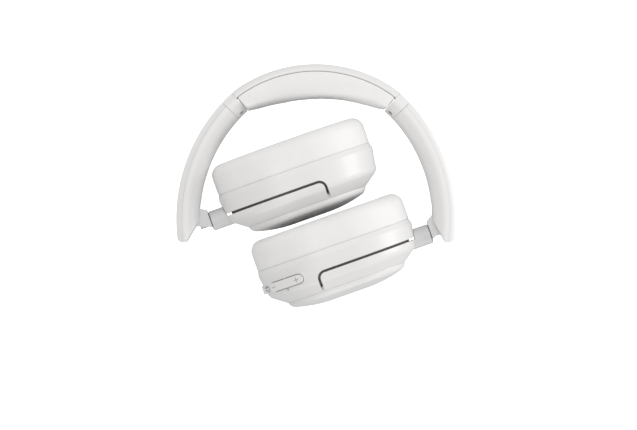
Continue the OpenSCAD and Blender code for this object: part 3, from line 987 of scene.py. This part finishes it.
@dataclass
class Controls:
    """The raised marks on the volume rocker, and beside them a dark disc that paints the shade of the microphone's
    hole.

    They stand round the cup's far half circle, whose middle is at centre_u. Sizes are in mm.
    """

    clothes: Wardrobe
    centre_u: float = 78.8
    outer_r: float = 38.5
    row_n: float = -7.5
    plus_deg: float = 64.0
    minus_deg: float = 36.5
    mark_l: float = 3.0
    mark_w: float = 0.5
    mark_h: float = 0.14
    mark_sunk: float = 0.05
    mark_over: float = 0.01
    mark_edge: float = 0.04
    mic_deg: float = 25.0
    mic_r: float = 0.55
    mic_l: float = 0.8
    mic_edge: float = 0.12
    mic_out: float = 36.4
    lean_deg: float = 8.7
    place: CupFrame = field(init=False)

    def __post_init__(self) -> None:
        """Takes the right cup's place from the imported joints."""
        self.place = CupFrame(Side.RIGHT)

    def build(self) -> None:
        """Makes the marks and the microphone's mesh."""
        plus = self.bars("volume_plus_mark", self.plus_deg, (0, 90))
        minus = self.bars("volume_minus_mark", self.minus_deg, (0,))
        for piece in (plus, minus):
            self.clothes.dress(piece, "dark_plastic", self.clothes.print_ink)
            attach(piece, "volume_rocker_unit")
        # Makes the marks and the dark disc that paints the microphone hole's shade.
        self.microphone()

    def on_side(self, angle_deg: float, radius: float) -> Matrix:
        """Gives a spot's place on the cup's far end: x along the row, y across it, z outwards.

        Args:
            angle_deg: The spot's angle from the cup's tip.
            radius: Its distance from the far half circle's middle, in mm.

        Returns:
            The transform from mm to metres.
        """
        turn = math.radians(angle_deg)
        out = Vector((math.cos(turn), math.sin(turn), 0))
        along = Vector((-math.sin(turn), math.cos(turn), 0))
        local = Matrix((along, Z_AXIS, out)).transposed().to_4x4()
        local.translation = Vector((self.centre_u, 0, self.row_n)) + out * radius
        return self.place.matrix @ local

    def bars(self, name: str, angle_deg: float, turns: tuple[int, ...]) -> bpy.types.Object:
        """Makes a mark of thin rounded bars; one that crosses another stands a hair over it.

        Args:
            name: The piece's name.
            angle_deg: Where the mark stands.
            turns: The turn of each bar, in degrees.

        Returns:
            The mark.
        """
        bm = bmesh.new()
        for turn in turns:
            made = bmesh.ops.create_cube(bm, size=1)
            height = self.mark_h + self.mark_over * (turn > 0)
            size = Matrix.Diagonal((self.mark_l, self.mark_w, height, 1))
            spin = Matrix.Rotation(math.radians(turn), 4, "Z")
            bmesh.ops.transform(bm, verts=made["verts"], matrix=spin @ size)
        bmesh.ops.bevel(
            bm,
            geom=bm.edges[:],
            offset=self.mark_edge,
            segments=2,
            profile=0.5,
            affect="EDGES",
            material=-1,
        )
        middle_r = self.outer_r + self.mark_h / 2 - self.mark_sunk
        bm.transform(self.on_side(angle_deg, middle_r))
        bmesh.ops.recalc_face_normals(bm, faces=bm.faces)
        piece = finish_mesh(name, bm)
        smooth(piece)
        return piece

    def microphone(self) -> None:
        """Makes a small dark disc in the microphone's hole, whose colour is painted shade for the hole's depth."""
        bm = bmesh.new()
        bmesh.ops.create_cone(
            bm,
            cap_ends=True,
            segments=32,
            radius1=self.mic_r,
            radius2=self.mic_r,
            depth=self.mic_l,
        )
        rim = [e for e in bm.edges if all(v.co.z > 0 for v in e.verts)]
        bmesh.ops.bevel(
            bm,
            geom=rim,
            offset=self.mic_edge,
            segments=3,
            profile=0.5,
            affect="EDGES",
            material=-1,
        )
        lean = Matrix.Rotation(math.radians(self.lean_deg), 4, "X")
        bm.transform(self.on_side(self.mic_deg, self.mic_out) @ lean)
        bmesh.ops.recalc_face_normals(bm, faces=bm.faces)
        piece = finish_mesh("microphone_mesh", bm)
        smooth(piece)
        # the dark finish paints the hole's shade
        self.clothes.dress(piece, "dark_plastic")
        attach(piece, "right_cup")


# ---- the studio ----


@dataclass
class Softbox:
    """A rectangular studio light that faces the headphones."""

    name: str
    place: tuple[float, float, float]
    size: tuple[float, float]
    watts: float
    aim: tuple[float, float, float] = (0.0, 0.0, 0.04)

    def build(self) -> None:
        """Adds the light to the scene."""
        light = bpy.data.lights.new(self.name, "AREA")
        light.shape = "RECTANGLE"
        light.size, light.size_y = self.size
        light.energy = self.watts
        lamp = bpy.data.objects.new(self.name, light)
        lamp.location = self.place
        ahead = Vector(self.aim) - Vector(self.place)
        lamp.rotation_euler = ahead.to_track_quat("-Z", "Y").to_euler()
        bpy.context.scene.collection.objects.link(lamp)


@dataclass
class Studio:
    """A pale table seen from straight above, with soft light all round.

    The camera takes in view_w metres of the plane of the fold pins.
    """

    view_w: float = 0.3822
    aim: tuple[float, float] = (0.0015, -0.0173)
    lens: float = 200.0
    sensor: float = 36.0
    far_clip: float = 20.0
    table_w: float = 6.0
    table_gap: float = 0.0003
    table_roughness: float = 0.6
    table_glow: float = 1.0
    sky_strength: float = 0.6

    def build(self) -> None:
        """Makes the table, the light and the camera."""
        self.table()
        self.sky()
        for box in (
            Softbox("top_softbox", (0.1, 0.4, 2.6), (1.8, 1.8), 18),
            Softbox("right_softbox", (1.5, 0.3, 0.5), (1.2, 0.9), 10),
            Softbox("left_softbox", (-1.3, 0.9, 0.4), (1.0, 0.7), 3.5),
            Softbox("near_softbox", (0.4, -1.5, 0.1), (1.6, 0.5), 5),
        ):
            box.build()
        self.camera()
        bpy.context.scene.view_settings.view_transform = "Standard"

    def table(self) -> None:
        """Makes the pale table, a lit white acrylic sheet."""
        bm = bmesh.new()
        bmesh.ops.create_grid(bm, x_segments=1, y_segments=1, size=self.table_w / 2)
        bmesh.ops.translate(bm, verts=bm.verts, vec=(0, 0, -self.table_gap))
        table = finish_mesh("table", bm)
        made = bpy.data.materials.new("opal_acrylic_sheet")
        made.use_nodes = True
        shader = made.node_tree.nodes["Principled BSDF"]
        shader.inputs["Base Color"].default_value = linear("FAFAFA")
        shader.inputs["Roughness"].default_value = self.table_roughness
        shader.inputs["Emission Color"].default_value = linear("FFFFFF")
        shader.inputs["Emission Strength"].default_value = self.table_glow
        table.data.materials.append(made)
        # the sheet itself lights nothing, so that edges near it keep their shade
        table.visible_diffuse = table.visible_glossy = False

    def sky(self) -> None:
        """Makes the even light of a white room."""
        world = bpy.data.worlds.new("white_room")
        world.use_nodes = True
        backdrop = world.node_tree.nodes["Background"]
        backdrop.inputs["Color"].default_value = linear("FFFFFF")
        backdrop.inputs["Strength"].default_value = self.sky_strength
        bpy.context.scene.world = world

    def camera(self) -> None:
        """Hangs the camera over the table, upright with the crown."""
        data = bpy.data.cameras.new("camera")
        data.lens = self.lens
        data.sensor_width = self.sensor
        data.clip_end = self.far_clip
        middle = CupFrame(Side.LEFT).pin.z
        camera = bpy.data.objects.new("camera", data)
        camera.location = (*self.aim, middle + self.view_w * self.lens / self.sensor)
        bpy.context.scene.collection.objects.link(camera)
        bpy.context.scene.camera = camera


def main() -> None:
    """Builds the headphones and the studio."""
    logging.basicConfig(level=logging.INFO, format="%(message)s")
    clothes = Wardrobe()
    clothes.dress_frame()
    Headband(clothes).build()
    for side in Side:
        EarCup(side, clothes).build()
    Controls(clothes).build()
    Studio().build()


if __name__ == "__main__":
    main()
